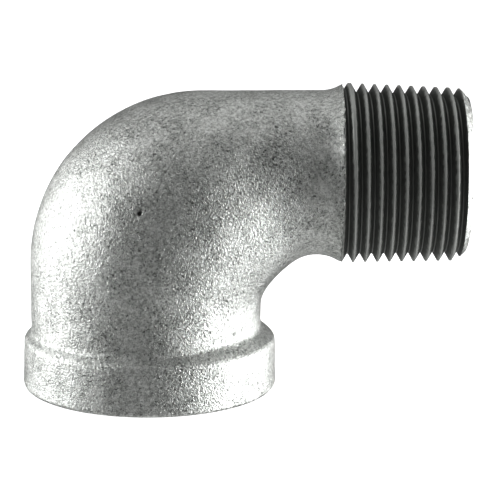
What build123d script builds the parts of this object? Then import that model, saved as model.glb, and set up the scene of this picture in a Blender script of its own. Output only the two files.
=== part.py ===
from build123d import *
import os
from math import atan, atan2, cos, degrees, radians, sin, sqrt, tan

# Street elbow, 90 degrees, 3/4-14 NPT, galvanised malleable iron: a female
# socket on the lower leg and a male thread on the side leg.
#
# Frame: the origin is the centre of the female mouth, a flat face at z = 0 that
# the fitting stands on. +Z is the axis of the female thread and +X the axis of
# the male thread. The two axes meet at (0, 0, CENTRE_TO_MOUTH). Millimetres.
# Outside and waterway sizes are those of the finished, coated fitting.
#
# Nodes:
#   iron_casting       the malleable iron body with both cut threads
#   zinc_coat_outside  the hot-dip zinc skin from the male thread to the mouth
#   zinc_coat_inside   the zinc skin of the waterway, male end face and chamfer

COAT = 0.1                      # thickness of the zinc

# ---- pipe thread, 3/4-14 NPT -----------------------------------------------------
PITCH = 25.4 / 14
TAPER = 1 / 32                  # growth of the radius per length along the axis
FLANK_ANGLE = 30                # half of the 60 degree thread form
TRUNCATION = 0.14               # worn off the sharp vee, at the crest and at the root
THREAD_HEIGHT = PITCH / 2 / tan(radians(FLANK_ANGLE)) - 2 * TRUNCATION
ROOT_FLAT = 2 * TRUNCATION * tan(radians(FLANK_ANGLE))
CUTTER_OVERHANG = 0.04          # how far a groove cutter stands out of the crest
MALE_TIP_PITCH_DIAMETER = 24.466    # one turn under the basic 24.579
FEMALE_MOUTH_PITCH_DIAMETER = 25.118
MALE_THREAD_LENGTH = 17.65      # from the end face to the last full groove
FEMALE_THREAD_LENGTH = 13.0
COUNTERSINK = 1.75              # 45 degrees, depth at the female mouth
TIP_CHAMFER = 1.3               # 45 degrees, at the male end
LEAD_TURNS = 1.5                # turns of a groove cutter outside the metal
VANISH_TURNS = 1.0              # turns over which the male groove runs out
VANISH_RISE = 1.3               # rise of its root per turn there

# ---- lower leg: band and socket wall ---------------------------------------------
BAND_DIAMETER = 38.4            # at the mouth
BAND_HEIGHT = 7.2               # side of the band, up to its shoulder
BAND_DRAFT = 1.2                # degrees, narrower upwards
BAND_MOUTH_ROUND = 0.7
BAND_TOP_ROUND = 0.5
FACING = 0.2                    # metal faced off the mouth, across the rounded edge
SHOULDER_SLOPE = 0.85           # height per radius of the shoulder above the band
SOCKET_DIAMETER = 34.85         # outside of the leg above the band
SOCKET_SHIFT = -0.55            # centre of the leg's outside, along X
LEG_HEIGHT = 12.2               # from the mouth to the start of the bend

# ---- bend ------------------------------------------------------------------------
THROAT_RADIUS = 8.2             # outside of the inner curve
THROAT_FILL = 0.65              # extra metal on the inner curve, half way round
HEEL_RADIUS = 26.0              # outside of the outer curve
HEEL_CLIMB = 1.0                # degrees, of the line from that curve up to the neck
BEND_SECTIONS = 10

# ---- side leg: neck and flare ----------------------------------------------------
NECK_DIAMETER = 24.55
NECK_LENGTH = 0.2               # straight, between the bend and the flare
FLARE_LENGTH = 3.5
FLARE_RISE = 1.15               # growth of the radius along the flare
RAMP_LENGTH = 0.75              # from the end of the flare to the last full groove

# ---- waterway --------------------------------------------------------------------
MALE_BORE_DIAMETER = 17.2
CHAMBER_DIAMETER = 27.0         # cored room between the female thread and the bend
CHAMBER_SHIFT = -0.25           # centre of the chamber, along X
CHAMBER_STRAIGHT = 0.6          # height of the chamber below the bend
CORE_HEEL_RADIUS = 22.0
OVERRUN = 3.0                   # how far a cutter stands out of an open end

# ---- overall sizes that follow ---------------------------------------------------
# The standard gives 33.3 and 48.0, each with 1.5 either way.
BEND_END = SOCKET_SHIFT + SOCKET_DIAMETER / 2 + THROAT_RADIUS
FLARE_END = BEND_END + NECK_LENGTH + FLARE_LENGTH
CENTRE_TO_MALE_END = FLARE_END + RAMP_LENGTH + MALE_THREAD_LENGTH
CENTRE_TO_MOUTH = LEG_HEIGHT + THROAT_RADIUS + NECK_DIAMETER / 2

BACKWARDS = Vector(0, 1, 0)
GROOVE_START = Rot(0, 0, 228)   # angle of the last full groove, off the seams of the cones


def male_crest_radius(distance):
    """Radius over the male crests at a distance from the end face."""
    return MALE_TIP_PITCH_DIAMETER / 2 + THREAD_HEIGHT / 2 + distance * TAPER


def female_crest_radius(height):
    """Radius inside the female crests at a height above the mouth."""
    return FEMALE_MOUTH_PITCH_DIAMETER / 2 - THREAD_HEIGHT / 2 - height * TAPER


def turned(outline):
    """Solid of revolution about Z of a closed outline in the XZ plane."""
    return revolve(Face(outline), Axis.Z)


def polygon(points):
    """Closed outline in the XZ plane through (radius, height) points."""
    return Wire.make_polygon([Vector(radius, 0, height) for radius, height in points])


def on_male_axis(solid):
    """Place a solid made along +Z from its end face on the side leg."""
    end = Plane((CENTRE_TO_MALE_END, 0, CENTRE_TO_MOUTH), x_dir=(0, 0, 1), z_dir=(-1, 0, 0))
    return end.location * solid


def bearing(pivot, point):
    """Angle at which the pivot sees a point, in degrees upwards from -X."""
    return degrees(atan2(point.Z - pivot.Z, pivot.X - point.X))


def heel_reach(pivot, angle, left, top, climb, heel_radius):
    """Distance from the pivot to the outer curve of a bend, along an angle.

    The outer curve is a vertical line at x = left, an arc, and a line that
    climbs by an angle to z = top over the pivot. The first angle is measured
    upwards from the -X direction.
    """
    ray = Vector(-cos(radians(angle)), 0, sin(radians(angle)))
    along_line = Vector(cos(radians(climb)), 0, sin(radians(climb)))
    off_line = Vector(-along_line.Z, 0, along_line.X)
    run = pivot.X - left - heel_radius
    line_height = top - run * tan(radians(climb))
    centre = Vector(left + heel_radius, 0, line_height - heel_radius / cos(radians(climb)))
    if angle <= bearing(pivot, Vector(left, 0, centre.Z)):
        return (pivot.X - left) / -ray.X
    if angle >= bearing(pivot, centre + off_line * heel_radius):
        return (top - pivot.Z) * off_line.Z / ray.dot(off_line)
    along = (centre - pivot).dot(ray)
    aside = (centre - pivot - ray * along).length
    return along + sqrt(heel_radius**2 - aside**2)


def bend(pivot, throat_radius, throat_fill, left, top, climb, heel_radius):
    """Bend lofted through round sections on planes that turn about the pivot."""
    sections = []
    for step in range(BEND_SECTIONS):
        angle = 90 * step / (BEND_SECTIONS - 1)
        near = throat_radius - throat_fill * sin(radians(2 * angle)) ** 2
        far = heel_reach(pivot, angle, left, top, climb, heel_radius)
        ray = Vector(-cos(radians(angle)), 0, sin(radians(angle)))
        middle = pivot + ray * ((near + far) / 2)
        section = Plane(middle, x_dir=ray, z_dir=BACKWARDS.cross(ray))
        sections.append(section * Circle((far - near) / 2))
    return loft(sections)


def outer_bend(offset):
    """Outside of the bend, with its surface moved outwards by an offset."""
    left = SOCKET_SHIFT - SOCKET_DIAMETER / 2 - offset
    top = CENTRE_TO_MOUTH + NECK_DIAMETER / 2 + offset
    pivot = Vector(BEND_END, 0, LEG_HEIGHT)
    throat_radius = THROAT_RADIUS - offset
    heel_radius = HEEL_RADIUS + offset
    return bend(pivot, throat_radius, THROAT_FILL, left, top, HEEL_CLIMB, heel_radius)


def socket_leg(offset):
    """Round leg between the mouth and the bend."""
    section = Plane((SOCKET_SHIFT, 0, LEG_HEIGHT), x_dir=(-1, 0, 0), z_dir=(0, 0, -1))
    return extrude(section * Circle(SOCKET_DIAMETER / 2 + offset), LEG_HEIGHT + FACING)


def band(offset):
    """Band round the mouth: rounded lower edge, drafted side, sloping shoulder."""
    round_middle = Vector(BAND_DIAMETER / 2 - BAND_MOUTH_ROUND, 0, BAND_MOUTH_ROUND - FACING)
    round_radius = BAND_MOUTH_ROUND + offset
    slope = radians(BAND_DRAFT)
    side_foot = round_middle + Vector(cos(slope), 0, sin(slope)) * round_radius
    side_top = side_foot + Vector(-tan(slope), 0, 1) * (BAND_HEIGHT - side_foot.Z)
    shoulder_inset = side_top.X - SOCKET_DIAMETER / 2 - 2 * SOCKET_SHIFT
    shoulder_top = side_top + Vector(-1, 0, SHOULDER_SLOPE) * shoulder_inset
    lowest = round_middle - Vector(0, 0, round_radius)
    corner = (Vector(1, 0, -1) + Vector(slope, 0, slope)).normalized()
    outline = Wire(
        [
            Edge.make_line((0, 0, lowest.Z), lowest),
            Edge.make_three_point_arc(lowest, round_middle + corner * round_radius, side_foot),
            Edge.make_line(side_foot, side_top),
            Edge.make_line(side_top, shoulder_top),
            Edge.make_line(shoulder_top, (0, 0, shoulder_top.Z)),
            Edge.make_line((0, 0, shoulder_top.Z), (0, 0, lowest.Z)),
        ]
    )
    face = Face(outline)
    crown = face.vertices().sort_by_distance(side_top)[0]
    return revolve(face.fillet_2d(BAND_TOP_ROUND, [crown]), Axis.Z)


def neck(offset):
    """Neck and flare of the side leg, from the end of the bend to the thread."""
    bend_end = CENTRE_TO_MALE_END - BEND_END
    neck_end = bend_end - NECK_LENGTH
    flare_end = neck_end - FLARE_LENGTH
    radius = NECK_DIAMETER / 2 + offset
    flare_radius = radius + FLARE_RISE
    outline = Wire(
        [
            Edge.make_line((0, 0, bend_end), (radius, 0, bend_end)),
            Edge.make_line((radius, 0, bend_end), (radius, 0, neck_end)),
            Edge.make_tangent_arc((radius, 0, neck_end), (0, 0, -1), (flare_radius, 0, flare_end)),
            Edge.make_line((flare_radius, 0, flare_end), (0, 0, flare_end)),
            Edge.make_line((0, 0, flare_end), (0, 0, bend_end)),
        ]
    )
    return on_male_axis(turned(outline))


def outside(offset):
    """Whole outside from the mouth to the end of the flare."""
    whole = socket_leg(offset) + band(offset) + outer_bend(offset) + neck(offset)
    faced_off = Solid.make_cylinder(BAND_DIAMETER, OVERRUN, Plane((0, 0, -OVERRUN)))
    return whole - faced_off


def chamfer_points(offset):
    """Ends of the male chamfer as (radius, distance), moved outwards by an offset."""
    inner_radius = male_crest_radius(TIP_CHAMFER) - TIP_CHAMFER
    across = offset * sqrt(2)
    outer_distance = (male_crest_radius(0) - inner_radius - across) / (1 - TAPER)
    inner_end = (inner_radius + across - offset, -offset)
    return inner_end, (male_crest_radius(outer_distance), outer_distance)


def male_blank():
    """Iron of the side leg's end before the groove is cut."""
    inner_end, outer_end = chamfer_points(-COAT)
    flare_radius = NECK_DIAMETER / 2 + FLARE_RISE - COAT
    flare_end = MALE_THREAD_LENGTH + RAMP_LENGTH
    last_crest = (male_crest_radius(MALE_THREAD_LENGTH), MALE_THREAD_LENGTH)
    points = [
        (0, inner_end[1]),
        inner_end,
        outer_end,
        last_crest,
        (flare_radius, flare_end),
        (0, flare_end),
    ]
    return on_male_axis(turned(polygon(points)))


def groove_turn(root_radius, start, turn, growth, side):
    """One turn, or less, of the metal cut away by a 60 degree tool about Z.

    The root starts at (root_radius, start) and moves outwards by growth per
    length. The tool opens outwards where side is 1 and inwards where it is -1.
    """
    cone = atan(growth)
    depth = THREAD_HEIGHT + CUTTER_OVERHANG
    open_half = ROOT_FLAT / 2 + depth * tan(radians(FLANK_ANGLE))
    corners = [
        (root_radius, start - ROOT_FLAT / 2),
        (root_radius + side * depth, start - open_half),
        (root_radius + side * depth, start + open_half),
        (root_radius, start + ROOT_FLAT / 2),
    ]
    rails = []
    for radius, foot in corners:
        slant_pitch = PITCH / cos(cone)
        height = turn * PITCH
        rails.append(Edge.make_helix(slant_pitch, height, radius, (0, 0, foot), angle=degrees(cone)))
    walls = [Face.make_surface_from_curves(rails[i - 1], rails[i]) for i in range(4)]
    ends = [Face(Wire.make_polygon([rail @ end for rail in rails])) for end in (0, 1)]
    return Solid(Shell(walls + ends))


def groove(root_radius, start, turns, side):
    """Whole turns of a tapered groove, each a cutter of its own."""
    cutters = []
    for turn in range(turns):
        advance = turn * PITCH
        cutters.append(groove_turn(root_radius + advance * TAPER, start + advance, 1, TAPER, side))
    return cutters


def male_groove():
    """Groove of the male thread, with its run-out beside the neck."""
    turns = round(MALE_THREAD_LENGTH / PITCH + LEAD_TURNS)
    end = MALE_THREAD_LENGTH
    start = end - turns * PITCH
    cutters = groove(male_crest_radius(start) - THREAD_HEIGHT, start, turns, 1)
    end_root = male_crest_radius(end) - THREAD_HEIGHT
    cutters.append(groove_turn(end_root, end, VANISH_TURNS, VANISH_RISE / PITCH, 1))
    return [on_male_axis(GROOVE_START * cutter) for cutter in cutters]


def female_groove():
    """Groove of the female thread, from the chamber out past the mouth."""
    inner_end = FEMALE_THREAD_LENGTH + PITCH
    turns = round(inner_end / PITCH + LEAD_TURNS)
    root = female_crest_radius(inner_end) + THREAD_HEIGHT
    downwards = Plane((0, 0, inner_end), x_dir=(1, 0, 0), z_dir=(0, 0, -1))
    return [downwards.location * GROOVE_START * cutter for cutter in groove(root, 0, turns, -1)]


def female_bore():
    """Bore inside the female crests with the countersink at the mouth."""
    mouth = female_crest_radius(0)
    top = FEMALE_THREAD_LENGTH + CHAMBER_STRAIGHT
    points = [
        (0, -OVERRUN),
        (mouth + COUNTERSINK + OVERRUN, -OVERRUN),
        (female_crest_radius(COUNTERSINK), COUNTERSINK),
        (female_crest_radius(top), top),
        (0, top),
    ]
    return turned(polygon(points))


def waterway(offset):
    """Cored room, bend and male bore, with the walls moved outwards by an offset."""
    chamber_radius = CHAMBER_DIAMETER / 2 + offset
    bore_radius = MALE_BORE_DIAMETER / 2 + offset
    floor = FEMALE_THREAD_LENGTH
    pivot_z = floor + CHAMBER_STRAIGHT
    throat_radius = CENTRE_TO_MOUTH - MALE_BORE_DIAMETER / 2 - pivot_z
    pivot = Vector(CHAMBER_SHIFT + CHAMBER_DIAMETER / 2 + throat_radius, 0, pivot_z)
    left = CHAMBER_SHIFT - chamber_radius
    top = CENTRE_TO_MOUTH + bore_radius
    chamber = Solid.make_cylinder(chamber_radius, CHAMBER_STRAIGHT, Plane((CHAMBER_SHIFT, 0, floor)))
    core = bend(pivot, throat_radius - offset, 0, left, top, 0, CORE_HEEL_RADIUS + offset)
    bore_length = CENTRE_TO_MALE_END - pivot.X
    bore = Solid.make_cylinder(bore_radius, bore_length)
    return chamber + core + on_male_axis(bore)


def iron_casting():
    """Malleable iron body with the waterway open through it and both threads cut."""
    body = outside(-COAT) + male_blank()
    body = body - waterway(COAT) - female_bore()
    return body - female_groove() - male_groove()


def zinc_coat_outside():
    """Zinc over the band, leg, bend, neck and flare."""
    return outside(0) - outside(-COAT)


def zinc_coat_inside():
    """Zinc in the waterway and over the male end face and chamfer."""
    skin = waterway(COAT) - waterway(0)
    bore_radius = MALE_BORE_DIAMETER / 2
    inner_end, outer_end = chamfer_points(0)
    iron_inner_end, iron_outer_end = chamfer_points(-COAT)
    points = [
        (bore_radius, 0),
        inner_end,
        outer_end,
        iron_outer_end,
        iron_inner_end,
        (bore_radius, COAT),
    ]
    rim = on_male_axis(turned(polygon(points)))
    return skin + rim - male_groove()


def main():
    """Write one STEP file per node."""
    os.makedirs("parts", exist_ok=True)
    export_step(iron_casting(), "parts/iron_casting.step")
    export_step(zinc_coat_outside(), "parts/zinc_coat_outside.step")
    export_step(zinc_coat_inside(), "parts/zinc_coat_inside.step")


main()
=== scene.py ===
"""Looks of a galvanised malleable iron street elbow, 3/4-14 NPT, round its CAD model.

The frame is the CAD model's: the origin is the centre of the female mouth, +Z is
the axis of the female socket and +X the axis of the male thread. Metres.

  iron_casting      CAD node: threads dark with cutting oil and painted shade, crests with a painted highlight, and the bare faced mouth
  zinc_skin         rough hot-dip zinc, swept along the fitting, for zinc_coat_outside
  zinc_coat_inside  CAD node: zinc of the waterway and of the male end
"""

from math import asin, cos, pi, radians, sin, sqrt, tan

import bpy
from bpy.props import FloatProperty, FloatVectorProperty, IntProperty, PointerProperty
from mathutils import Matrix, Vector


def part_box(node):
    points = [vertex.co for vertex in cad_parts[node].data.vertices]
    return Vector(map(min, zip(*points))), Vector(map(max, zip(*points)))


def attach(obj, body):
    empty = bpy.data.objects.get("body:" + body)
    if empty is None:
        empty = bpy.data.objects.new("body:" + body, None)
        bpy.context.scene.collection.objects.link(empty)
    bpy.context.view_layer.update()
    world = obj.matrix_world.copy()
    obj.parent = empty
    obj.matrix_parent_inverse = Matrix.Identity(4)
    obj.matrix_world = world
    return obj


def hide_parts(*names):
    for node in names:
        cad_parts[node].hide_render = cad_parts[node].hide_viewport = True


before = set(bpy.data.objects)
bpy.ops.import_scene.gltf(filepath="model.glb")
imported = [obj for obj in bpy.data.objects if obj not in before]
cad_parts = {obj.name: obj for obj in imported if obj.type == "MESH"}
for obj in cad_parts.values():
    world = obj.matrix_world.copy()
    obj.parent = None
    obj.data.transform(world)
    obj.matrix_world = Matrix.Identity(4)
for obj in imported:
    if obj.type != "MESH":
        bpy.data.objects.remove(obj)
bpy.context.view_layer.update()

bl_info = {
    "name": "Galvanised street elbow",
    "version": (1, 0, 0),
    "blender": (4, 5, 0),
    "location": "3D View > Sidebar > Elbow",
    "description": "Makes the surfaces of a galvanised street elbow round its CAD model",
    "category": "Object",
}

MM = 0.001
COAT = 0.1 * MM  # thickness of the zinc in the CAD model
SKIN_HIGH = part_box("zinc_coat_outside")[1]
IRON_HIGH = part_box("iron_casting")[1]

# 3/4-14 NPT thread of the CAD model, in millimetres.
THREAD_HEIGHT = 1.291
MALE_PITCH_DIAMETER = 24.466  # at the end face
FEMALE_PITCH_DIAMETER = 25.118  # at the mouth
TAPER = 1 / 32  # growth of the radius per length
SOCKET_THREAD_FROM = 1.7  # height at which the countersink gives way to thread
SOCKET_THREAD_DEPTH = 1.5  # more than the thread is deep, so its roots are inside

# Limits of the zinc's relief, above and below the CAD model's surface.
LEAST_LUMP = 0.02 * MM
DEEPEST_PIT = 0.75 * COAT
WELD = 0.0005 * MM  # points nearer than this become one

# Soft boxes: place and size in metres, and power in watts.
SOFT_BOXES = {
    "left_box": ((-0.34, 0.05, 0.06), (0.22, 0.34), 1.7),
    "right_box": ((0.34, 0.03, 0.0), (0.24, 0.34), 2.7),
    "top_box": ((0.0, 0.14, 0.45), (0.40, 0.30), 0.35),
}
LIT_POINT = (0.005, 0, 0.022)  # the soft boxes face it
VIEWED_POINT = Vector((14.9, 0, 21.5)) * MM  # the camera looks at it
FLOOR_HALF = 2.5  # half the floor's side
FLOOR_DROP = 0.02 * MM  # the floor lies this far below the mouth


# ---- small helpers ---------------------------------------------------------------


def linear(hex_colour, alpha=1.0):
    """sRGB hex such as "c8c9c7" as a linear colour."""
    channels = [int(hex_colour[i : i + 2], 16) / 255 for i in (0, 2, 4)]
    low = [c / 12.92 if c <= 0.04045 else ((c + 0.055) / 1.055) ** 2.4 for c in channels]
    return (*low, alpha)


def add(tree, kind, links=None, **settings):
    """Add a node with its settings and inputs; gives its first output in use.

    links maps an input's name or index to a value or to another node's output.
    """
    made = tree.nodes.new(kind)
    for name, value in settings.items():
        setattr(made, name, value)
    for key, value in (links or {}).items():
        if isinstance(key, int):
            socket = made.inputs[key]
        else:
            socket = next(s for s in made.inputs if s.name == key and s.enabled)
        if isinstance(value, bpy.types.NodeSocket):
            tree.links.new(value, socket)
        else:
            socket.default_value = value
    return next((s for s in made.outputs if s.enabled), None)


def new_material(name):
    """An empty node material and its tree."""
    material = bpy.data.materials.new(name)
    material.use_nodes = True
    material.node_tree.nodes.clear()
    return material, material.node_tree


def only_material(piece, material):
    """Give a piece that one material."""
    piece.data.materials.clear()
    piece.data.materials.append(material)


# ---- sizes and finishes ----------------------------------------------------------


def length(name, description, default, **limits):
    """A size in metres."""
    return FloatProperty(
        name=name, description=description, default=default, unit="LENGTH", precision=5, **limits
    )


def colour(name, description, hex_colour):
    """A colour, given as sRGB hex."""
    return FloatVectorProperty(
        name=name,
        description=description,
        default=linear(hex_colour),
        subtype="COLOR",
        size=4,
        min=0,
        max=1,
    )


class ElbowSizes(bpy.types.PropertyGroup):
    """Outside sizes of the fitting, as in its CAD model."""

    band_radius: length("Band radius", "Outside radius of the band at the mouth", SKIN_HIGH.y)
    band_height: length("Band height", "Height of the side of the band", 7.2 * MM)
    band_draft: FloatProperty(
        name="Band draft",
        description="Lean of the band's side",
        default=radians(1.2),
        subtype="ANGLE",
    )
    mouth_round: length("Mouth round", "Radius of the band's lower edge", 0.7 * MM)
    facing: length("Facing", "Metal faced off the mouth across that edge", 0.2 * MM)
    shoulder_slope: FloatProperty(
        name="Shoulder slope",
        description="Height per radius of the shoulder above the band",
        default=0.85,
        subtype="FACTOR",
    )
    crown_round: length("Crown round", "Softness of the edge above the band", 0.45 * MM)
    crease_round: length("Crease round", "Softness of the crease above the shoulder", 0.5 * MM)
    leg_radius: length("Leg radius", "Outside radius of the leg above the band", 17.425 * MM)
    leg_shift: length("Leg shift", "Centre of the leg along X", -0.55 * MM)
    leg_height: length("Leg height", "Height of the start of the bend", 12.2 * MM)
    throat_radius: length("Throat radius", "Radius of the inner curve", 8.2 * MM)
    throat_fill: length("Throat fill", "Extra metal half way round the inner curve", 0.65 * MM)
    heel_radius: length("Heel radius", "Radius of the outer curve", 26.0 * MM)
    heel_climb: FloatProperty(
        name="Heel climb",
        description="Climb of the line from the outer curve up to the neck",
        default=radians(1.0),
        subtype="ANGLE",
    )
    neck_radius: length("Neck radius", "Outside radius of the side leg", 12.275 * MM)
    flare_rise: length("Flare rise", "Growth of the radius up to the thread", 1.15 * MM)
    flare_length: length("Flare length", "Length over which the neck grows", 3.5 * MM)
    bare: length("Bare strip", "Oily iron left between the zinc and the thread", 0.5 * MM)
    flare_end: length("Flare end", "Top of the flare, where the thread starts", SKIN_HIGH.x)


class ZincSettings(bpy.types.PropertyGroup):
    """Mesh, lumps and colours of the zinc."""

    columns: IntProperty(name="Columns", description="Points round the fitting", default=490, min=12)
    seed: IntProperty(name="Seed", description="Seed of the lumps", default=7)
    swell: length("Swell", "Height of the casting's slow unevenness", 0.16 * MM)
    lump: length("Lump", "Height of the zinc's lumps", 0.07 * MM)
    pit: length("Pit", "Depth of the blow holes", 0.16 * MM)
    ragged: length("Ragged edge", "How far the zinc's edge wanders along the flare", 0.45 * MM)
    light: colour("Zinc", "Clean hot-dip zinc", "e6e8e5")
    dull: colour("Dull zinc", "Dull patches of the zinc", "8b8e8a")
    # This colour is ash in the specks; in the blow holes it is ash with painted shade.
    ash_and_pit_shade: colour("Pit colour", "Ash and dirt in the pits", "2c2c2a")


class OilySteelSettings(bpy.types.PropertyGroup):
    """Colours of the cut threads."""

    # The flank colour, kept down in the thread's roots, is cutting oil with painted shade.
    flank: colour("Flank", "Cut iron under dark cutting oil", "3a3c3a")
    sheen: colour("Streak", "Flank where the oil is thin", "6a6c69")
    # The crest colour is bare iron with a painted highlight.
    crest: colour("Crest", "Iron rubbed bare on the crests", "989a97")


class StageSettings(bpy.types.PropertyGroup):
    """Floor, light and camera."""

    floor: colour("Floor", "Pale floor", "f4f4f4")
    distance: length("Camera distance", "From the camera to the fitting", 247.96 * MM)
    elevation: FloatProperty(
        name="Elevation", description="Camera above level", default=radians(11.77), subtype="ANGLE"
    )
    azimuth: FloatProperty(
        name="Azimuth", description="Camera round the fitting", default=radians(0.41), subtype="ANGLE"
    )
    roll: FloatProperty(
        name="Roll", description="Camera about its own axis", default=radians(0.72), subtype="ANGLE"
    )


# ---- shape of the zinc skin ------------------------------------------------------


def soft_min(a, b, width):
    """Smaller of two numbers, with the corner between them rounded over a width."""
    blend = max(width - abs(a - b), 0) / width
    return min(a, b) - blend * blend * width / 4


def spread(first, last, count):
    """Evenly spaced numbers from first to last, both included."""
    return [first + (last - first) * i / (count - 1) for i in range(count)]


def heel_reach(sizes, angle, offset):
    """Distance from the bend's pivot to its outer curve, at an angle above -X."""
    left = sizes.leg_shift - sizes.leg_radius - offset
    top = sizes.leg_height + sizes.throat_radius + 2 * sizes.neck_radius + offset
    radius = sizes.heel_radius + offset
    pivot = Vector((bend_end(sizes), 0, sizes.leg_height))
    ray = Vector((-cos(angle), 0, sin(angle)))
    along_line = Vector((cos(sizes.heel_climb), 0, sin(sizes.heel_climb)))
    off_line = Vector((-along_line.z, 0, along_line.x))
    line_height = top - (pivot.x - left - radius) * tan(sizes.heel_climb)
    centre = Vector((left + radius, 0, line_height - radius / cos(sizes.heel_climb)))
    along = (centre - pivot).dot(ray)
    aside = (centre - pivot - ray * along).length
    hit = pivot + ray * (along + sqrt(radius**2 - aside**2))
    if hit.z < centre.z:
        return (pivot.x - left) / -ray.x
    if (hit - centre).dot(along_line) > 0:
        return (top - pivot.z) * off_line.z / ray.dot(off_line)
    return (hit - pivot).length


def bend_end(sizes):
    """Where the bend ends, along X."""
    return sizes.leg_shift + sizes.leg_radius + sizes.throat_radius


def leg_ring(sizes, height, offset, rim=0.0):
    """Ring of the band or leg at a height; rim is the band's radius there."""
    centre = Vector((sizes.leg_shift, 0, height))
    return centre, Vector((-1, 0, 0)), sizes.leg_radius + offset, rim


def band_rings(sizes, rounding_steps, side_steps, offset):
    """Rings of the band's rounded lower edge, side and shoulder, from the mouth up."""
    middle_radius = sizes.band_radius - sizes.mouth_round
    middle_height = sizes.mouth_round - sizes.facing
    radius = sizes.mouth_round + offset
    rings = []
    for angle in spread(-asin(middle_height / radius), sizes.band_draft, rounding_steps):
        height = middle_height + radius * sin(angle)
        rings.append(leg_ring(sizes, height, offset, middle_radius + radius * cos(angle)))
    foot = middle_height + radius * sin(sizes.band_draft)
    side_radius = middle_radius + radius * cos(sizes.band_draft)
    crown_radius = side_radius - (sizes.band_height - foot) * tan(sizes.band_draft)
    for height in spread(foot, sizes.leg_height, side_steps)[1:-1]:
        side = side_radius - (height - foot) * tan(sizes.band_draft)
        shoulder = crown_radius - (height - sizes.band_height) / sizes.shoulder_slope
        rim = max(soft_min(side, shoulder, sizes.crown_round), 0)
        rings.append(leg_ring(sizes, height, offset, rim))
    return rings


def bend_rings(sizes, steps, offset):
    """Rings of the bend on planes that turn about its pivot."""
    pivot = Vector((bend_end(sizes), 0, sizes.leg_height))
    rings = []
    for angle in spread(0, pi / 2, steps):
        near = sizes.throat_radius - offset - sizes.throat_fill * sin(2 * angle) ** 2
        far = heel_reach(sizes, angle, offset)
        ray = Vector((-cos(angle), 0, sin(angle)))
        rings.append((pivot + ray * ((near + far) / 2), ray, (far - near) / 2, 0.0))
    return rings


def neck_rings(sizes, steps, offset):
    """Rings of the neck and flare, up to the thread."""
    arc = (sizes.flare_length**2 + sizes.flare_rise**2) / (2 * sizes.flare_rise)
    height = sizes.leg_height + sizes.throat_radius + sizes.neck_radius
    rings = []
    for along in spread(bend_end(sizes), sizes.flare_end - sizes.bare, steps)[1:]:
        into = max(along - sizes.flare_end + sizes.flare_length, 0)
        radius = sizes.neck_radius + arc - sqrt(arc**2 - into**2) + offset
        rings.append((Vector((along, 0, height)), Vector((0, 0, 1)), radius, 0.0))
    return rings


def lip_rings(sizes, steps):
    """Rings at the zinc's edge, which the tree runs out along the flare."""
    centre, ray, radius, rim = neck_rings(sizes, 2, 0)[-1]
    return [(centre, ray, radius, rim)] * steps


def skin_rings(sizes):
    """Outer wall from the mouth to the thread, then inner wall back: (ring, cover, lip)."""
    # The outer wall has rings close enough for its lumps, and the inner one has few.
    outer = band_rings(sizes, 7, 46, 0) + bend_rings(sizes, 97, 0) + neck_rings(sizes, 17, 0)
    inner = band_rings(sizes, 4, 12, -COAT) + bend_rings(sizes, 13, -COAT)
    inner += neck_rings(sizes, 5, -COAT)
    lips = lip_rings(sizes, 5)
    rings = [(ring, 1.0, 0.0) for ring in outer]
    rings += [(ring, 1.0, (i + 1) / len(lips)) for i, ring in enumerate(lips)]
    rings += [(ring, 0.0, 0.0) for ring in reversed(inner)]
    return rings + rings[:1]


def ring_line(name, rings):
    """A line of points, one at each ring's centre, that carries the rings' numbers."""
    mesh = bpy.data.meshes.new(name)
    mesh.from_pydata([ring[0] for ring, _, _ in rings], [], [])
    columns = {
        "ray": ("FLOAT_VECTOR", "vector", [value for ring, _, _ in rings for value in ring[1]]),
        "radius": ("FLOAT", "value", [ring[2] for ring, _, _ in rings]),
        "rim": ("FLOAT", "value", [ring[3] for ring, _, _ in rings]),
        "cover": ("FLOAT", "value", [cover for _, cover, _ in rings]),
        "lip": ("FLOAT", "value", [lip for _, _, lip in rings]),
    }
    for key, (kind, field, values) in columns.items():
        mesh.attributes.new(key, kind, "POINT").data.foreach_set(field, values)
    line = bpy.data.objects.new(name, mesh)
    bpy.context.scene.collection.objects.link(line)
    return line


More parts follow.
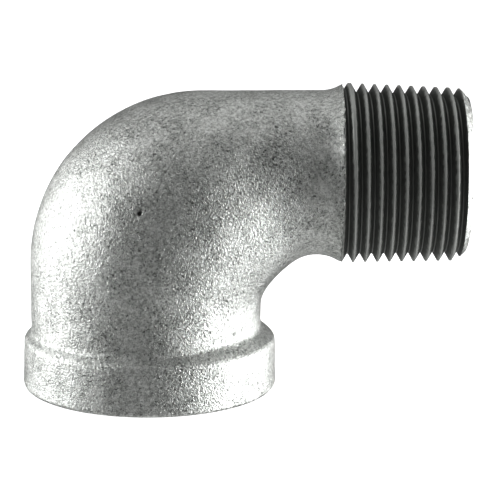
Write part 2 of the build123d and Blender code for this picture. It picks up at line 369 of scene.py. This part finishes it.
def skin_tree():
    """Geometry nodes that sweep the rings into a skin and raise its lumps and pits."""
    tree = bpy.data.node_groups.new("cast_zinc_skin", "GeometryNodeTree")
    face = tree.interface
    face.new_socket("Rings", in_out="INPUT", socket_type="NodeSocketGeometry")
    for name, kind in (
        ("Ring count", "NodeSocketInt"),
        ("Columns", "NodeSocketInt"),
        ("Seed", "NodeSocketInt"),
        ("Crease round", "NodeSocketFloat"),
        ("Swell", "NodeSocketFloat"),
        ("Lump", "NodeSocketFloat"),
        ("Pit", "NodeSocketFloat"),
        ("Ragged edge", "NodeSocketFloat"),
        ("Zinc", "NodeSocketMaterial"),
    ):
        face.new_socket(name, in_out="INPUT", socket_type=kind)
    face.new_socket("Skin", in_out="OUTPUT", socket_type="NodeSocketGeometry")

    group = add(tree, "NodeGroupInput").node.outputs

    # A grid with one row for each ring and one column for each step round it.
    round_count = add(tree, "ShaderNodeMath", {0: group["Columns"], 1: 1.0}, operation="ADD")
    grid = add(
        tree,
        "GeometryNodeMeshGrid",
        {"Vertices X": group["Ring count"], "Vertices Y": round_count},
    )
    index = add(tree, "GeometryNodeInputIndex")
    row = add(
        tree,
        "FunctionNodeIntegerMath",
        {0: index, 1: round_count},
        operation="DIVIDE_FLOOR",
    )
    step = add(tree, "FunctionNodeIntegerMath", {0: index, 1: round_count}, operation="MODULO")
    share = add(tree, "ShaderNodeMath", {0: step, 1: group["Columns"]}, operation="DIVIDE")
    turn = add(tree, "ShaderNodeMath", {0: share, 1: 2 * pi}, operation="MULTIPLY")

    def ring_value(name, kind):
        """A ring's number, read at the row of the point."""
        value = add(tree, "GeometryNodeInputNamedAttribute", {"Name": name}, data_type=kind)
        return add(
            tree,
            "GeometryNodeSampleIndex",
            {"Geometry": group["Rings"], "Value": value, "Index": row},
            data_type=kind,
        )

    centre = add(
        tree,
        "GeometryNodeSampleIndex",
        {"Geometry": group["Rings"], "Value": add(tree, "GeometryNodeInputPosition"), "Index": row},
        data_type="FLOAT_VECTOR",
    )
    ray, radius = ring_value("ray", "FLOAT_VECTOR"), ring_value("radius", "FLOAT")
    rim, cover, lip = (ring_value(name, "FLOAT") for name in ("rim", "cover", "lip"))

    # Round each ring: outwards = ray cos(turn) - Y sin(turn).
    cosine = add(tree, "ShaderNodeMath", {0: turn}, operation="COSINE")
    sine = add(tree, "ShaderNodeMath", {0: turn}, operation="SINE")
    aside = add(tree, "ShaderNodeCombineXYZ", {"Y": sine})
    outwards = add(tree, "ShaderNodeVectorMath", {0: ray, "Scale": cosine}, operation="SCALE")
    outwards = add(tree, "ShaderNodeVectorMath", {0: outwards, 1: aside}, operation="ADD")
    reach = add(tree, "ShaderNodeVectorMath", {0: outwards, "Scale": radius}, operation="SCALE")
    place = add(tree, "ShaderNodeVectorMath", {0: centre, 1: reach}, operation="ADD")

    # Near the mouth a point moves out from the female axis to the band's radius.
    flat = add(tree, "ShaderNodeVectorMath", {0: place, 1: (1, 1, 0)}, operation="MULTIPLY")
    upright = add(tree, "ShaderNodeVectorMath", {0: place, 1: (0, 0, 1)}, operation="MULTIPLY")
    off_axis = add(tree, "ShaderNodeVectorMath", {0: flat}, operation="LENGTH")
    off_axis = off_axis.node.outputs["Value"]
    wanted = add(
        tree,
        "ShaderNodeMath",
        {0: off_axis, 1: rim, 2: group["Crease round"]},
        operation="SMOOTH_MAX",
    )
    growth = add(tree, "ShaderNodeMath", {0: wanted, 1: off_axis}, operation="DIVIDE")
    on_band = add(tree, "ShaderNodeVectorMath", {0: flat, "Scale": growth}, operation="SCALE")
    on_band = add(tree, "ShaderNodeVectorMath", {0: on_band, 1: upright}, operation="ADD")
    near_band = add(tree, "ShaderNodeMath", {0: rim, 1: 0.0}, operation="GREATER_THAN")
    place = add(
        tree,
        "ShaderNodeMix",
        {"Factor": near_band, "A": place, "B": on_band},
        data_type="VECTOR",
    )

    # At the thread the zinc ends in a ragged edge that climbs the flare.
    edge_noise = add(
        tree,
        "ShaderNodeTexNoise",
        {"Vector": outwards, "W": group["Seed"], "Scale": 9.0, "Detail": 3.0, "Roughness": 0.75},
        noise_dimensions="4D",
    )
    run_out = add(
        tree,
        "ShaderNodeMapRange",
        {"Value": edge_noise, "From Min": 0.32, "From Max": 0.68, "To Max": group["Ragged edge"]},
    )
    run_out = add(tree, "ShaderNodeMath", {0: run_out, 1: lip}, operation="MULTIPLY")
    climb = add(tree, "ShaderNodeVectorMath", {0: outwards, "Scale": 0.5}, operation="SCALE")
    climb = add(tree, "ShaderNodeVectorMath", {0: climb, 1: (1, 0, 0)}, operation="ADD")
    climb = add(tree, "ShaderNodeVectorMath", {0: climb, "Scale": run_out}, operation="SCALE")
    place = add(tree, "ShaderNodeVectorMath", {0: place, 1: climb}, operation="ADD")

    skin = add(tree, "GeometryNodeSetPosition", {"Geometry": grid, "Position": place})
    skin = add(
        tree,
        "GeometryNodeStoreNamedAttribute",
        {"Geometry": skin, "Name": "cover", "Value": cover},
        data_type="FLOAT",
        domain="POINT",
    )
    skin = add(tree, "GeometryNodeMergeByDistance", {"Geometry": skin, "Distance": WELD})

    # Slow swell of the casting, lumps of zinc, and blow holes.
    spot = add(tree, "GeometryNodeInputPosition")
    spot = add(tree, "ShaderNodeVectorMath", {0: spot, "Scale": 1 / MM}, operation="SCALE")
    swell = add(
        tree,
        "ShaderNodeTexNoise",
        {"Vector": spot, "W": group["Seed"], "Scale": 1 / 7, "Detail": 1.0},
        noise_dimensions="4D",
    )
    lumps = add(
        tree,
        "ShaderNodeTexNoise",
        {"Vector": spot, "W": group["Seed"], "Scale": 1 / 1.6, "Detail": 3.0, "Roughness": 0.6},
        noise_dimensions="4D",
    )
    cells = add(
        tree,
        "ShaderNodeTexVoronoi",
        {"Vector": spot, "W": group["Seed"], "Scale": 1 / 3.4, "Randomness": 1.0},
        voronoi_dimensions="4D",
        feature="F1",
    ).node.outputs
    # A third of the cells have a blow hole, some of them shallow.
    lottery = add(tree, "ShaderNodeSeparateXYZ", {"Vector": cells["Color"]})
    drawn = add(
        tree, "ShaderNodeMapRange", {"Value": lottery, "From Min": 0.66, "From Max": 0.9}
    )
    hole = add(
        tree,
        "ShaderNodeMapRange",
        {"Value": cells["Distance"], "From Min": 0.05, "From Max": 0.19, "To Min": 1.0, "To Max": 0.0},
        interpolation_type="SMOOTHSTEP",
    )
    hole = add(tree, "ShaderNodeMath", {0: hole, 1: drawn}, operation="MULTIPLY")
    # Both noises lie round 0.5, so less than that taken off leaves them mostly proud.
    swell = add(tree, "ShaderNodeMath", {0: swell, 1: 0.36}, operation="SUBTRACT")
    swell = add(tree, "ShaderNodeMath", {0: swell, 1: group["Swell"]}, operation="MULTIPLY")
    lumps = add(tree, "ShaderNodeMath", {0: lumps, 1: 0.4}, operation="SUBTRACT")
    height = add(
        tree,
        "ShaderNodeMath",
        {0: lumps, 1: group["Lump"], 2: swell},
        operation="MULTIPLY_ADD",
    )
    height = add(tree, "ShaderNodeMath", {0: height, 1: LEAST_LUMP}, operation="MAXIMUM")
    sunk = add(tree, "ShaderNodeMath", {0: hole, 1: group["Pit"]}, operation="MULTIPLY")
    height = add(tree, "ShaderNodeMath", {0: height, 1: sunk}, operation="SUBTRACT")
    height = add(tree, "ShaderNodeMath", {0: height, 1: -DEEPEST_PIT}, operation="MAXIMUM")
    covered = add(tree, "GeometryNodeInputNamedAttribute", {"Name": "cover"}, data_type="FLOAT")
    heights = add(tree, "ShaderNodeSeparateXYZ", {"Vector": spot}).node.outputs
    above_face = add(tree, "ShaderNodeMapRange", {"Value": heights["Z"], "From Max": 0.5})
    height = add(tree, "ShaderNodeMath", {0: height, 1: covered}, operation="MULTIPLY")
    height = add(tree, "ShaderNodeMath", {0: height, 1: above_face}, operation="MULTIPLY")
    normal = add(tree, "GeometryNodeInputNormal")
    raised = add(tree, "ShaderNodeVectorMath", {0: normal, "Scale": height}, operation="SCALE")
    skin = add(
        tree,
        "GeometryNodeStoreNamedAttribute",
        {"Geometry": skin, "Name": "pit", "Value": hole},
        data_type="FLOAT",
        domain="POINT",
    )
    skin = add(tree, "GeometryNodeSetPosition", {"Geometry": skin, "Offset": raised})
    skin = add(tree, "GeometryNodeSetShadeSmooth", {"Geometry": skin})
    skin = add(tree, "GeometryNodeRealizeInstances", {"Geometry": skin})
    skin = add(
        tree, "GeometryNodeSetMaterial", {"Geometry": skin, "Material": group["Zinc"]}
    )
    add(tree, "NodeGroupOutput", {"Skin": skin})
    return tree


def baked(name, line, tree, inputs):
    """Run the tree on the line of rings and give the result as a plain mesh object."""
    modifier = line.modifiers.new("skin", "NODES")
    modifier.node_group = tree
    inputs_of_tree = [item for item in tree.interface.items_tree if item.in_out == "INPUT"]
    keys = {item.name: item.identifier for item in inputs_of_tree}
    for label, value in inputs.items():
        modifier[keys[label]] = value
    line.update_tag()
    evaluated = line.evaluated_get(bpy.context.evaluated_depsgraph_get())
    mesh = bpy.data.meshes.new_from_object(evaluated)
    mesh.name = name
    line.modifiers.remove(modifier)
    old = line.data
    bpy.data.objects.remove(line)
    bpy.data.meshes.remove(old)
    if not mesh.polygons:
        raise RuntimeError(f"{name} came out empty")
    piece = bpy.data.objects.new(name, mesh)
    bpy.context.scene.collection.objects.link(piece)
    return piece


# ---- materials -------------------------------------------------------------------


def zinc_material(name, zinc):
    """Hot-dip galvanised zinc on a sand casting: matt silver, finely pitted and lumpy, with painted
    shade in the pits.
    """
    material, tree = new_material(name)
    spot = add(tree, "ShaderNodeTexCoord").node.outputs["Object"]
    spot = add(tree, "ShaderNodeMapping", {"Vector": spot, "Scale": (1 / MM,) * 3})

    # Grain of the sand mould under the zinc, about a third of a millimetre.
    grain = add(
        tree,
        "ShaderNodeTexNoise",
        {"Vector": spot, "Scale": 2.9, "Detail": 3.0, "Roughness": 0.6},
    )
    # Zinc crystals and ash, drawn at a sixth of a millimetre so that they show.
    fine = add(
        tree,
        "ShaderNodeTexNoise",
        {"Vector": spot, "Scale": 6.0, "Detail": 1.0, "Roughness": 0.5},
    )
    # Dull patches a few millimetres across, and mottling from half a millimetre down.
    patch = add(
        tree,
        "ShaderNodeTexNoise",
        {"Vector": spot, "Scale": 0.28, "Detail": 2.0, "Roughness": 0.5},
    )
    mottle = add(
        tree,
        "ShaderNodeTexNoise",
        {"Vector": spot, "Scale": 2.0, "Detail": 3.0, "Roughness": 0.95},
    )
    dull = add(tree, "ShaderNodeMath", {0: patch, 1: 0.2, 2: mottle}, operation="MULTIPLY_ADD")
    dull = add(tree, "ShaderNodeMapRange", {"Value": dull, "From Min": 0.46, "From Max": 0.73})
    shade = add(
        tree,
        "ShaderNodeMix",
        {"Factor": dull, "A": zinc.light, "B": zinc.dull},
        data_type="RGBA",
    )
    # Specks of ash, thicker in the dull patches.
    speck = add(
        tree,
        "ShaderNodeTexNoise",
        {"Vector": spot, "Scale": 3.0, "Detail": 1.0, "Distortion": 0.6},
    )
    speck = add(tree, "ShaderNodeMath", {0: patch, 1: -0.3, 2: speck}, operation="MULTIPLY_ADD")
    speck = add(
        tree,
        "ShaderNodeMapRange",
        {"Value": speck, "From Min": 0.12, "From Max": 0.24, "To Min": 0.8, "To Max": 0.0},
    )
    # Blow holes take the same dark colour: painted shade inside the shallow holes, with their ash.
    hole = add(tree, "ShaderNodeAttribute", attribute_name="pit").node.outputs["Fac"]
    hole = add(tree, "ShaderNodeMapRange", {"Value": hole, "From Min": 0.15, "From Max": 0.6})
    ash_and_pit_shade_mask = add(tree, "ShaderNodeMath", {0: hole, 1: speck}, operation="MAXIMUM")
    shade = add(
        tree,
        "ShaderNodeMix",
        {"Factor": ash_and_pit_shade_mask, "A": shade, "B": zinc.ash_and_pit_shade},
        data_type="RGBA",
    )
    rough = add(
        tree,
        "ShaderNodeMapRange",
        {"Value": fine, "From Min": 0.3, "From Max": 0.7, "To Min": 0.28, "To Max": 0.48},
    )
    relief = add(
        tree, "ShaderNodeMath", {0: fine, 1: 0.6, 2: grain}, operation="MULTIPLY_ADD"
    )
    bump = add(
        tree,
        "ShaderNodeBump",
        {"Height": relief, "Strength": 1.0, "Distance": 0.15 * MM},
    )
    surface = add(
        tree,
        "ShaderNodeBsdfPrincipled",
        {"Base Color": shade, "Metallic": 1.0, "Roughness": rough, "Normal": bump},
    )
    add(tree, "ShaderNodeOutputMaterial", {"Surface": surface})
    return material


def iron_material(name, oily, sizes):
    """Machined malleable iron: dark cutting oil in the threads, crests rubbed bare; painted shade down
    in the roots and a painted highlight on the crests.
    """
    material, tree = new_material(name)
    spot = add(tree, "ShaderNodeTexCoord").node.outputs["Object"]
    spot = add(tree, "ShaderNodeMapping", {"Vector": spot, "Scale": (1 / MM,) * 3})
    parts = add(tree, "ShaderNodeSeparateXYZ", {"Vector": spot}).node.outputs

    # Distance from the male axis, against the tapered crest radius at that place.
    male_axis = (sizes.leg_height + sizes.throat_radius + sizes.neck_radius) / MM
    rise = add(tree, "ShaderNodeMath", {0: parts["Z"], 1: male_axis}, operation="SUBTRACT")
    across = add(tree, "ShaderNodeCombineXYZ", {"Y": parts["Y"], "Z": rise})
    radius = add(tree, "ShaderNodeVectorMath", {0: across}, operation="LENGTH")
    radius = radius.node.outputs["Value"]
    tip_radius = (MALE_PITCH_DIAMETER + THREAD_HEIGHT) / 2
    end = IRON_HIGH.x / MM
    crest = add(
        tree,
        "ShaderNodeMath",
        {0: parts["X"], 1: -TAPER, 2: tip_radius + end * TAPER},
        operation="MULTIPLY_ADD",
    )
    depth = add(tree, "ShaderNodeMath", {0: crest, 1: radius}, operation="SUBTRACT")

    # The same under the crests of the female thread, above its countersink.
    flat = add(tree, "ShaderNodeCombineXYZ", {"X": parts["X"], "Y": parts["Y"]})
    reach = add(tree, "ShaderNodeVectorMath", {0: flat}, operation="LENGTH")
    reach = reach.node.outputs["Value"]
    mouth_radius = (FEMALE_PITCH_DIAMETER - THREAD_HEIGHT) / 2
    groove = add(
        tree,
        "ShaderNodeMath",
        {0: parts["Z"], 1: TAPER, 2: reach},
        operation="MULTIPLY_ADD",
    )
    groove = add(tree, "ShaderNodeMath", {0: groove, 1: mouth_radius}, operation="SUBTRACT")
    outermost = mouth_radius + SOCKET_THREAD_DEPTH
    in_socket = add(tree, "ShaderNodeMath", {0: reach, 1: outermost}, operation="LESS_THAN")
    above = add(
        tree,
        "ShaderNodeMath",
        {0: parts["Z"], 1: SOCKET_THREAD_FROM},
        operation="GREATER_THAN",
    )
    in_socket = add(tree, "ShaderNodeMath", {0: in_socket, 1: above}, operation="MULTIPLY")
    groove = add(tree, "ShaderNodeMath", {0: groove, 1: in_socket}, operation="MULTIPLY")
    depth = add(tree, "ShaderNodeMath", {0: depth, 1: groove}, operation="MAXIMUM")

    # Streaks of oil run round the thread: close together along it, long round it.
    streak_spot = add(
        tree, "ShaderNodeMapping", {"Vector": spot, "Scale": (5.0, 0.7, 0.7)}
    )
    streak = add(
        tree,
        "ShaderNodeTexNoise",
        {"Vector": streak_spot, "Scale": 1.0, "Detail": 4.0, "Roughness": 0.65},
    )
    # Crests are lighter down to a depth that wanders from 0.16 to 0.5 mm: bare iron with a painted
    # highlight. Below it the roots keep the dark flank colour: oil with painted shade.
    nick = add(tree, "ShaderNodeTexNoise", {"Vector": spot, "Scale": 1.1, "Detail": 3.0})
    crest_bare_and_highlight_depth = add(
        tree,
        "ShaderNodeMapRange",
        {"Value": nick, "From Min": 0.3, "From Max": 0.7, "To Min": 0.16, "To Max": 0.5},
    )
    crest_bare_and_painted_highlight = add(tree, "ShaderNodeMath", {0: crest_bare_and_highlight_depth, 1: depth}, operation="SUBTRACT")
    crest_bare_and_painted_highlight = add(tree, "ShaderNodeMapRange", {"Value": crest_bare_and_painted_highlight, "From Min": -0.16, "From Max": 0.2})
    flank = add(
        tree,
        "ShaderNodeMix",
        {"Factor": streak, "A": oily.flank, "B": oily.sheen},
        data_type="RGBA",
    )
    shade = add(
        tree,
        "ShaderNodeMix",
        {"Factor": crest_bare_and_painted_highlight, "A": flank, "B": oily.crest},
        data_type="RGBA",
    )
    bump = add(
        tree, "ShaderNodeBump", {"Height": streak, "Strength": 0.5, "Distance": 0.06 * MM}
    )
    surface = add(
        tree,
        "ShaderNodeBsdfPrincipled",
        {"Base Color": shade, "Metallic": 0.8, "Roughness": 0.5, "Normal": bump},
    )
    add(tree, "ShaderNodeOutputMaterial", {"Surface": surface})
    return material


def floor_material(stage):
    """Matt white board: even and pale, lit enough to read as white."""
    material, tree = new_material("matt_white_board")
    surface = add(
        tree,
        "ShaderNodeBsdfPrincipled",
        {
            "Base Color": stage.floor,
            "Roughness": 0.9,
            "Emission Color": (1, 1, 1, 1),
            "Emission Strength": 1.0,
        },
    )
    add(tree, "ShaderNodeOutputMaterial", {"Surface": surface})
    return material


# ---- operators -------------------------------------------------------------------


class ELBOW_OT_zinc_skin(bpy.types.Operator):
    """Sweep the outside of the fitting as one lumpy skin of zinc"""

    bl_idname = "elbow.zinc_skin"
    bl_label = "Zinc skin"

    def execute(self, context):
        sizes, zinc = context.scene.elbow_sizes, context.scene.elbow_zinc
        rings = skin_rings(sizes)
        inputs = {
            "Ring count": len(rings),
            "Columns": zinc.columns,
            "Seed": zinc.seed,
            "Crease round": sizes.crease_round,
            "Swell": zinc.swell,
            "Lump": zinc.lump,
            "Pit": zinc.pit,
            "Ragged edge": zinc.ragged,
            "Zinc": zinc_material("hot_dip_zinc", zinc),
        }
        piece = baked("zinc_skin", ring_line("rings", rings), skin_tree(), inputs)
        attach(piece, "root")
        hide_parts("zinc_coat_outside")
        return {"FINISHED"}


class ELBOW_OT_zinc_bore(bpy.types.Operator):
    """Give the zinc of the waterway and of the male end its finish"""

    bl_idname = "elbow.zinc_bore"
    bl_label = "Zinc bore"

    def execute(self, context):
        material = zinc_material("hot_dip_zinc_bore", context.scene.elbow_zinc)
        only_material(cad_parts["zinc_coat_inside"], material)
        return {"FINISHED"}


class ELBOW_OT_iron(bpy.types.Operator):
    """Give the machined iron its oily threads, with painted shade in the roots and a painted highlight
    on the crests, and its bare mouth
    """

    bl_idname = "elbow.iron"
    bl_label = "Machined iron"

    def execute(self, context):
        scene = context.scene
        material = iron_material("cut_iron_oil_and_painted_shade", scene.elbow_oily, scene.elbow_sizes)
        only_material(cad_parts["iron_casting"], material)
        return {"FINISHED"}


def soft_light(name, place, target, size, power):
    """A rectangular soft box at a place, turned towards a target."""
    lamp = bpy.data.lights.new(name, "AREA")
    lamp.shape = "RECTANGLE"
    lamp.size, lamp.size_y = size
    lamp.energy = power
    light = bpy.data.objects.new(name, lamp)
    light.location = place
    light.rotation_mode = "QUATERNION"
    light.rotation_quaternion = (Vector(place) - Vector(target)).to_track_quat("Z", "Y")
    bpy.context.scene.collection.objects.link(light)
    return light


class ELBOW_OT_stage(bpy.types.Operator):
    """Set the floor, the soft boxes and the camera"""

    bl_idname = "elbow.stage"
    bl_label = "Stage"

    def execute(self, context):
        scene, stage = context.scene, context.scene.elbow_stage
        mesh = bpy.data.meshes.new("floor")
        corners = [
            (x * FLOOR_HALF, y * FLOOR_HALF, -FLOOR_DROP)
            for x, y in ((-1, -1), (1, -1), (1, 1), (-1, 1))
        ]
        mesh.from_pydata(corners, [], [(0, 1, 2, 3)])
        floor = bpy.data.objects.new("floor", mesh)
        scene.collection.objects.link(floor)
        mesh.materials.append(floor_material(stage))
        floor.visible_glossy = False

        for name, (place, size, power) in SOFT_BOXES.items():
            soft_light(name, place, LIT_POINT, size, power)

        world = bpy.data.worlds.new("soft_studio")
        scene.world = world
        world.use_nodes = True
        world.node_tree.nodes.clear()
        tree = world.node_tree
        # Light from every side: brighter from below, as off a white table, and from above.
        way = add(tree, "ShaderNodeTexCoord").node.outputs["Generated"]
        way = add(tree, "ShaderNodeSeparateXYZ", {"Vector": way}).node.outputs["Z"]
        table = add(
            tree,
            "ShaderNodeMapRange",
            {"Value": way, "From Min": -0.75, "From Max": -0.45, "To Min": 0.72, "To Max": 0.185},
        )
        ceiling = add(
            tree,
            "ShaderNodeMapRange",
            {"Value": way, "From Min": 0.3, "From Max": 0.9, "To Max": 0.14},
        )
        light = add(tree, "ShaderNodeMath", {0: table, 1: ceiling}, operation="ADD")
        grey = add(tree, "ShaderNodeBackground", {"Color": linear("ffffff"), "Strength": light})
        add(tree, "ShaderNodeOutputWorld", {"Surface": grey})
        scene.view_settings.view_transform = "Standard"

        camera_data = bpy.data.cameras.new("camera")
        camera_data.sensor_width = 36.0
        camera_data.lens = 118.0368
        camera_data.shift_x = 0.00288
        camera_data.shift_y = -0.011
        camera_data.clip_start = 0.01
        camera = bpy.data.objects.new("camera", camera_data)
        gaze = Vector(
            (
                -sin(stage.azimuth) * cos(stage.elevation),
                cos(stage.azimuth) * cos(stage.elevation),
                -sin(stage.elevation),
            )
        )
        camera.location = VIEWED_POINT - gaze * stage.distance
        camera.rotation_mode = "QUATERNION"
        level = gaze.to_track_quat("-Z", "Y")
        camera.rotation_quaternion = level @ Matrix.Rotation(stage.roll, 3, "Z").to_quaternion()
        scene.collection.objects.link(camera)
        scene.camera = camera
        return {"FINISHED"}


OPERATORS = (ELBOW_OT_zinc_skin, ELBOW_OT_zinc_bore, ELBOW_OT_iron, ELBOW_OT_stage)
GROUPS = {
    "elbow_sizes": ElbowSizes,
    "elbow_zinc": ZincSettings,
    "elbow_oily": OilySteelSettings,
    "elbow_stage": StageSettings,
}


class ELBOW_PT_sidebar(bpy.types.Panel):
    """Operators and settings of the elbow"""

    bl_idname = "ELBOW_PT_sidebar"
    bl_label = "Street elbow"
    bl_space_type = "VIEW_3D"
    bl_region_type = "UI"
    bl_category = "Elbow"

    def draw(self, context):
        for operator in OPERATORS:
            self.layout.operator(operator.bl_idname)
        for name in GROUPS:
            group = getattr(context.scene, name)
            box = self.layout.box()
            for key in group.__annotations__:
                box.prop(group, key)


def register():
    """Register the settings, the operators and the panel."""
    for group in GROUPS.values():
        bpy.utils.register_class(group)
    for name, group in GROUPS.items():
        setattr(bpy.types.Scene, name, PointerProperty(type=group))
    for kind in (*OPERATORS, ELBOW_PT_sidebar):
        bpy.utils.register_class(kind)


def unregister():
    """Undo register."""
    for kind in (ELBOW_PT_sidebar, *reversed(OPERATORS)):
        bpy.utils.unregister_class(kind)
    for name in GROUPS:
        delattr(bpy.types.Scene, name)
    for group in reversed(list(GROUPS.values())):
        bpy.utils.unregister_class(group)


def main():
    """Make every piece and the stage."""
    register()
    bpy.ops.elbow.zinc_skin()
    bpy.ops.elbow.zinc_bore()
    bpy.ops.elbow.iron()
    bpy.ops.elbow.stage()


if __name__ == "__main__":
    main()
